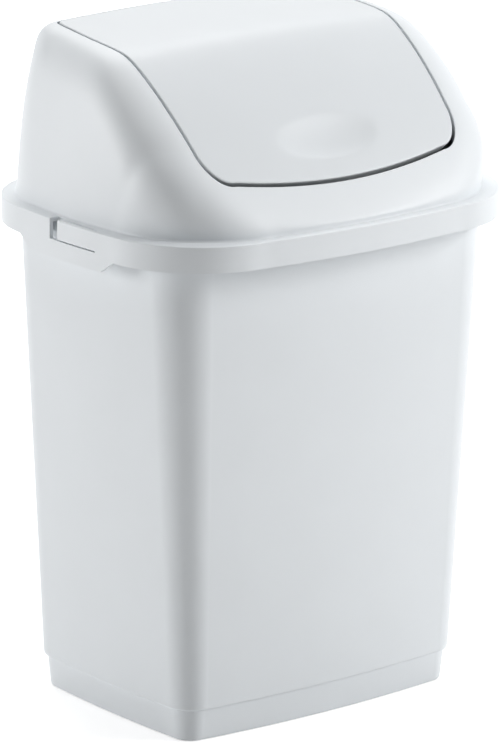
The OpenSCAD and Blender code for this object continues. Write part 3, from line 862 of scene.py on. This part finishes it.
class WASTEBIN_OT_hood(bpy.types.Operator):
    """Build the hood with its collar, shoulder and the wall round the opening"""

    bl_idname = "wastebin.hood"
    bl_label = "Hood"

    def execute(self, context):
        form, hood, flap = Form(), sizes("hood"), sizes("flap")
        low_z = form.skirt_z - hood.deep_skirt
        lip_back = inset(form.opening, -form.wall)
        x, y = outline_points(lip_back).T
        inner_edge = np.column_stack([x, y, form.under(x, y, form.wall)])
        outer_edge = form.on_face(inset(form.opening, -flap.edge), 0)
        root = hood.root_round
        rings = form.collar_outside(low_z)
        for angle in quarter_turn()[:-1]:
            foot = inset(form.hood_base, -root * (1 - math.sin(angle)))
            rings.append(level(foot, form.hood_base_z - root * math.cos(angle)))
        rings += form.hood_skin(form.hood_base_z, 0, outer_edge)
        for angle in quarter_turn()[1:]:
            edge = inset(form.opening, -flap.edge * (1 - math.sin(angle)))
            rings.append(form.on_face(edge, flap.edge * (1 - math.cos(angle))))
        rings += [form.on_face(form.opening, hood.lip), form.on_face(lip_back, hood.lip)]
        rings += form.hood_skin(form.collar_z - form.wall, form.wall, inner_edge)[::-1]
        rings += form.collar_inside(low_z)
        piece = ring_skin("hood", rings)
        for hand in (-1, 1):
            self.add_supports(piece, form, hand)
            self.trim_skirt(piece, form, hand)
            self.cut_windows(piece, form, hand)
        finish_piece(piece, shell_plastic(), "hood", ["hood"])
        return {"FINISHED"}

    def add_supports(self, piece, form, hand):
        """Adds one side's pivot boss with its bore, and the ledge that the flap rests on."""
        hood, flap = sizes("hood"), sizes("flap")
        side = side_x(form.opening, PIVOT.y)
        bore = flap.stub + flap.stub_fit
        boss = across_cylinder(
            "boss", bore + flap.boss_wall,
            hand * (side + BOSS_BACK), hand * (side + flap.stub_length),
        )
        combine(piece, boss, "UNION")
        far_x, far_y = hood.rest_place + hood.rest_width / 2, form.opening[2]
        rest_z = form.face_z(far_x, form.flap_edge[2]) - flap.flange - hood.rest_gap
        low_x, high_x = sorted((hand * (far_x - hood.rest_width), hand * far_x))
        ledge = box(
            "ledge", (low_x, far_y - hood.rest_reach, rest_z - form.wall),
            (high_x, far_y + form.wall / 2, rest_z),
        )
        combine(piece, ledge, "UNION")
        hole = across_cylinder(
            "bore", bore, hand * (side - form.wall), hand * (side + flap.stub_length + CUT)
        )
        combine(piece, hole, "DIFFERENCE")

    def trim_skirt(self, piece, form, hand):
        """Trims the skirt in front of (-1) or behind (1) its deeper length, with a slant."""
        hood = sizes("hood")
        below, end_y = form.skirt_z - hood.deep_skirt - CUT, 2 * form.collar[1]
        slant = hood.deep_slant * CUT / hood.deep_skirt
        profile = [
            (hood.deep_half - slant, below), (hood.deep_half + hood.deep_slant, form.skirt_z),
            (end_y, form.skirt_z), (end_y, below),
        ]
        ends = [[(x, hand * y, z) for y, z in profile] for x in (-end_y, end_y)]
        combine(piece, prism("trim", *ends), "DIFFERENCE")

    def cut_windows(self, piece, form, hand):
        """Cuts one side's gap round its spring tongue, and the open slot at the tongue's end."""
        hood, latch = sizes("hood"), sizes("latch")
        low_z = LATCH_LOW.z - latch.cut
        fold = tongue_fold() + latch.cut
        gap = collar_cut(form, hand, fold, LATCH_LOW.y, LATCH_HIGH.y + CUT, low_z)
        combine(piece, gap, "DIFFERENCE")
        fold = hood.ledge_side - hood.root_round - latch.slot_ledge
        slot = collar_cut(form, hand, fold, LATCH_HIGH.y, LATCH_HIGH.y + latch.slot, low_z)
        combine(piece, slot, "DIFFERENCE")


class WASTEBIN_OT_latches(bpy.types.Operator):
    """Build the two spring tongues of the collar, with their catches"""

    bl_idname = "wastebin.latches"
    bl_label = "Latches"

    def execute(self, context):
        form, latch, bucket = Form(), sizes("latch"), sizes("bucket")
        catch_z = RIM_HEIGHT - bucket.rim_lip - latch.catch_gap
        hook_x, root_x = form.rim[0] - latch.hook, form.collar[0] - form.wall / 2
        tip_height = form.wall / 3
        profile = [
            (hook_x, catch_z), (hook_x, catch_z - tip_height),
            (root_x, catch_z - latch.catch_height), (root_x, catch_z),
        ]
        end_y = LATCH_HIGH.y - latch.catch_back
        for hand, side in ((-1, "left"), (1, "right")):
            rings = form.collar_outside(LATCH_LOW.z - form.wall)
            rings += [level(form.hood_base, form.collar_z)]
            rings += [level(inset(form.hood_base, form.wall), form.collar_z - form.wall)]
            rings += form.collar_inside(LATCH_LOW.z - form.wall)
            piece = ring_skin("tongue_" + side, rings)
            tongue = collar_cut(form, hand, tongue_fold(), LATCH_LOW.y, LATCH_HIGH.y, LATCH_LOW.z)
            combine(piece, tongue, "INTERSECT")
            ends = [[(hand * x, y, z) for x, z in profile] for y in (end_y - latch.catch, end_y)]
            combine(piece, prism("catch", *ends), "UNION")
            finish_piece(piece, shell_plastic(), "latch_" + side, ["latch_" + side])
        return {"FINISHED"}


class WASTEBIN_OT_flap(bpy.types.Operator):
    """Build the bent swing flap with its push recess, flange and stubs"""

    bl_idname = "wastebin.flap"
    bl_label = "Flap"

    def execute(self, context):
        form, flap = Form(), sizes("flap")
        columns, rows = FLAP_COLUMNS, FLAP_ROWS
        cells = np.array([(c, r) for r in range(rows + 1) for c in range(columns + 1)])
        border = [(c, 0) for c in range(columns, 0, -1)] + [(0, r) for r in range(rows)]
        border += [(c, rows) for c in range(columns)] + [(columns, r) for r in range(rows, 0, -1)]
        border = np.array(border)
        inside_edge = inset(form.flap_edge, form.wall)
        x, y = self.places(inset(form.flap_edge, flap.edge), cells)
        layers = [np.column_stack([x, y, form.face_z(x, y) - self.recess(form, x, y)])]
        x, y = self.places(inside_edge, cells)
        inside_z = form.under(x, y, form.wall) - self.recess(form, x, y)
        layers.append(np.column_stack([x, y, inside_z]))
        loops = [(inside_edge, flap.flange), (form.flap_edge, flap.flange)]
        for angle in quarter_turn()[:0:-1]:
            outline = inset(form.flap_edge, flap.edge * (1 - math.sin(angle)))
            loops.append((outline, flap.edge * (1 - math.cos(angle))))
        for outline, drop in loops:
            layers.append(form.flange_points(*self.places(outline, border), drop))
        faces = self.skin_faces(len(cells), border, len(loops))
        piece = mesh_object("flap", np.concatenate(layers), faces)
        face_outwards(piece)
        side = side_x(form.flap_edge, PIVOT.y)
        pad, stub = (flap.stub + flap.boss_wall, -PAD_BACK), (flap.stub, flap.stub_length)
        for hand in (-1, 1):
            for radius, end in (pad, stub):
                ends = hand * (side - form.wall), hand * (side + end)
                combine(piece, across_cylinder("stub", radius, *ends), "UNION")
        plastic = polypropylene("white_polypropylene_flap", sizes("finish").flap)
        finish_piece(piece, plastic, "flap", ["swing_flap"])
        return {"FINISHED"}

    def places(self, outline, cells):
        """X and Y of the grid's points within an outline, in rows from back to front."""
        a = np.sin(np.radians(np.linspace(-90, 90, FLAP_COLUMNS + 1)))[cells[:, 0]]
        t = np.linspace(0, 1, FLAP_ROWS + 1)[cells[:, 1]]
        w, f, b = outline[0] - outline[7], outline[1] - outline[5], outline[2]
        r_front, r_back, bow_front, bow_side = outline[[3, 4, 5, 7]]
        x = w * np.abs(a)
        flat, flat_back = w - r_front, w - r_back
        front_arc = np.sqrt(np.maximum(0, r_front**2 - np.maximum(0, x - flat) ** 2))
        front = np.where(x < flat, -f - bow_front * (1 - (x / flat) ** 2), -f + r_front - front_arc)
        back_arc = np.sqrt(np.maximum(0, r_back**2 - np.maximum(0, x - flat_back) ** 2))
        back = b - r_back + back_arc
        return (w + bow_side * 4 * t * (1 - t)) * a, back + (front - back) * t

    def recess(self, form, x, y):
        """Depth of the oval push recess."""
        flap = sizes("flap")
        middle_y = flap.recess_place - form.flap_edge[1]
        reach = (x / flap.recess_half) ** 2 + ((y - middle_y) / flap.recess_width) ** 2
        return flap.recess_depth * np.maximum(0, 1 - reach)

    def skin_faces(self, grid_size, border, loop_count):
        """Faces of the outer and inner grid, and of the flange that joins their borders."""
        row, count = FLAP_COLUMNS + 1, len(border)
        at = border[:, 1] * row + border[:, 0]
        stack = [grid_size + at]
        stack += [2 * grid_size + k * count + np.arange(count) for k in range(loop_count)] + [at]
        faces = []
        for r in range(FLAP_ROWS):
            for c in range(FLAP_COLUMNS):
                a = r * row + c
                quad = (a, a + row, a + row + 1, a + 1)
                faces.append(quad)
                faces.append(tuple(grid_size + i for i in quad[::-1]))
        for lower, upper in zip(stack, stack[1:]):
            for i in range(count):
                j = (i + 1) % count
                faces.append((lower[i], lower[j], upper[j], upper[i]))
        return faces


# ---- Stage -------------------------------------------------------------------

# The camera's angles, distance, aim and focal length in pixels of the view
AZIMUTH, ELEVATION, ROLL = -38.93, 16.17, 0.668
DISTANCE = 2.3614
AIM = Vector((0, 0, 0.1165))
VIEW_WIDTH, VIEW_HEIGHT = 500, 744
FOCAL_PIXELS = 5612
AXIS_X, AXIS_Y = 248.89, 417.79
SENSOR = 36
# Each soft box: azimuth, elevation, distance, width, height and power in watts
LAMPS = {
    "left_soft_box": (-127, 9, 2.5, 1.2, 1.1, 31),
    "right_soft_box": (47, 24, 2.5, 1.0, 1.2, 43),
    "back_soft_box": (145, 56, 3.0, 1.8, 1.8, 44),
    "top_soft_box": (-80, 80, 3.0, 2.0, 2.0, 24),
}
FLOOR_REACH, FLOOR_DEPTH = 3.0, 0.02
PAPER_COLOUR = "#F3F3F3"
# White that the camera sees added to the lit floor, the distances from the bin
# between which it rises to full white, and the faint light from all round
FLOOR_WHITE = 0.5
FLOOR_FADE = (0.5, 1.5)
WORLD_LIGHT = 0.02


def towards(azimuth, elevation):
    """The direction from the bin to an azimuth, from its front, and an elevation."""
    turn, rise = math.radians(azimuth), math.radians(elevation)
    level_part = math.cos(rise)
    return Vector((math.sin(turn) * level_part, -math.cos(turn) * level_part, math.sin(rise)))


def place_camera():
    """The camera at the viewing angle, with the shift that frames the bin."""
    back, turn, roll = towards(AZIMUTH, ELEVATION), math.radians(AZIMUTH), math.radians(ROLL)
    right = Vector((math.cos(turn), math.sin(turn), 0))
    up = back.cross(right)
    turned = Matrix((
        right * math.cos(roll) + up * math.sin(roll),
        up * math.cos(roll) - right * math.sin(roll),
        back,
    )).transposed()
    data = bpy.data.cameras.new("camera")
    data.sensor_fit = "VERTICAL"
    data.sensor_height = SENSOR
    data.lens = SENSOR * FOCAL_PIXELS / VIEW_HEIGHT
    data.shift_x = (VIEW_WIDTH / 2 - AXIS_X) / VIEW_HEIGHT
    data.shift_y = (AXIS_Y - VIEW_HEIGHT / 2) / VIEW_HEIGHT
    camera = bpy.data.objects.new("camera", data)
    camera.matrix_world = Matrix.Translation(AIM + back * DISTANCE) @ turned.to_4x4()
    bpy.context.scene.collection.objects.link(camera)
    bpy.context.scene.camera = camera


def soft_box(name, azimuth, elevation, distance, width, height, power):
    """A soft box light that looks at the bin from an azimuth and an elevation."""
    back = towards(azimuth, elevation)
    data = bpy.data.lights.new(name, "AREA")
    data.shape = "RECTANGLE"
    data.size, data.size_y = width, height
    data.energy = power
    light = bpy.data.objects.new(name, data)
    light.location = AIM + back * distance
    light.rotation_euler = back.to_track_quat("Z", "Y").to_euler()
    bpy.context.scene.collection.objects.link(light)


def white_when_seen(tree, seen, hidden):
    """Strength of a white that the camera, mirrors and glass see, and of what it lights."""
    path = add(tree, "ShaderNodeLightPath").outputs
    looks = {"camera": path["Is Camera Ray"], "white": seen}
    work_out(tree, looks, (
        ("looked at", "MAXIMUM", "camera", path["Is Glossy Ray"]),
        ("looked at", "MAXIMUM", "looked at", path["Is Transmission Ray"]),
        ("added", "SUBTRACT", "white", hidden),
        ("strength", "MULTIPLY_ADD", "looked at", "added", hidden),
    ))
    return looks["strength"]


class WASTEBIN_OT_stage(bpy.types.Operator):
    """Set up the camera, the pale floor, the soft lights and the world"""

    bl_idname = "wastebin.stage"
    bl_label = "Stage"

    def execute(self, context):
        place_camera()
        self.lay_floor()
        for name, settings in LAMPS.items():
            soft_box(name, *settings)
        self.light_world()
        context.scene.view_settings.view_transform = "Standard"
        return {"FINISHED"}

    def lay_floor(self):
        """The white paper that the bin stands on, which keeps the bin's shadow."""
        low, high = (-FLOOR_REACH, -FLOOR_REACH, -FLOOR_DEPTH), (FLOOR_REACH, FLOOR_REACH, 0)
        floor = box("floor", low, high)
        paper = bpy.data.materials.new("matt_white_paper")
        paper.use_nodes = True
        tree = paper.node_tree
        tree.nodes.clear()
        matt = add(tree, "ShaderNodeBsdfDiffuse", {"Color": (*linear(PAPER_COLOUR), 1)})
        place = add(tree, "ShaderNodeTexCoord").outputs["Object"]
        distance = add(tree, "ShaderNodeVectorMath", [place], operation="LENGTH").outputs["Value"]
        reach = add(tree, "ShaderNodeMapRange", [distance, *FLOOR_FADE, FLOOR_WHITE, 1.0])
        strength = white_when_seen(tree, reach.outputs[0], 0.0)
        white = add(tree, "ShaderNodeEmission", {"Strength": strength})
        both = add(tree, "ShaderNodeAddShader", [matt.outputs[0], white.outputs[0]])
        add(tree, "ShaderNodeOutputMaterial", [both.outputs[0]])
        floor.data.materials.append(paper)

    def light_world(self):
        """The white round the scene, which lights the bin only faintly."""
        world = bpy.data.worlds.new("studio")
        world.use_nodes = True
        sky = world.node_tree
        sky.nodes.clear()
        strength = white_when_seen(sky, 1.0, WORLD_LIGHT)
        white = add(sky, "ShaderNodeBackground", {"Color": (1, 1, 1, 1), "Strength": strength})
        add(sky, "ShaderNodeOutputWorld", [white.outputs[0]])
        bpy.context.scene.world = world


class WASTEBIN_PT_panel(bpy.types.Panel):
    """The sidebar's list of the bin's pieces"""

    bl_idname = "WASTEBIN_PT_panel"
    bl_label = "Waste Bin"
    bl_space_type = "VIEW_3D"
    bl_region_type = "UI"
    bl_category = "Waste Bin"

    def draw(self, context):
        for operator in OPERATORS:
            self.layout.operator(operator.bl_idname)


GROUPS = {
    "moulding": MouldingSizes, "bucket": BucketSizes, "hood": HoodSizes, "flap": FlapSizes,
    "latch": LatchSizes, "finish": FinishColours,
}
OPERATORS = (
    WASTEBIN_OT_stage, WASTEBIN_OT_bucket, WASTEBIN_OT_hood, WASTEBIN_OT_latches, WASTEBIN_OT_flap,
)


def register():
    for group in (*GROUPS.values(), *OPERATORS, WASTEBIN_PT_panel):
        bpy.utils.register_class(group)
    for name, group in GROUPS.items():
        setattr(bpy.types.Scene, "waste_bin_" + name, PointerProperty(type=group))


def unregister():
    for name in GROUPS:
        delattr(bpy.types.Scene, "waste_bin_" + name)
    for group in (WASTEBIN_PT_panel, *reversed(OPERATORS), *GROUPS.values()):
        bpy.utils.unregister_class(group)


def main():
    register()
    bpy.ops.wastebin.stage()
    bpy.ops.wastebin.bucket()
    bpy.ops.wastebin.hood()
    bpy.ops.wastebin.latches()
    bpy.ops.wastebin.flap()


if __name__ == "__main__":
    main()
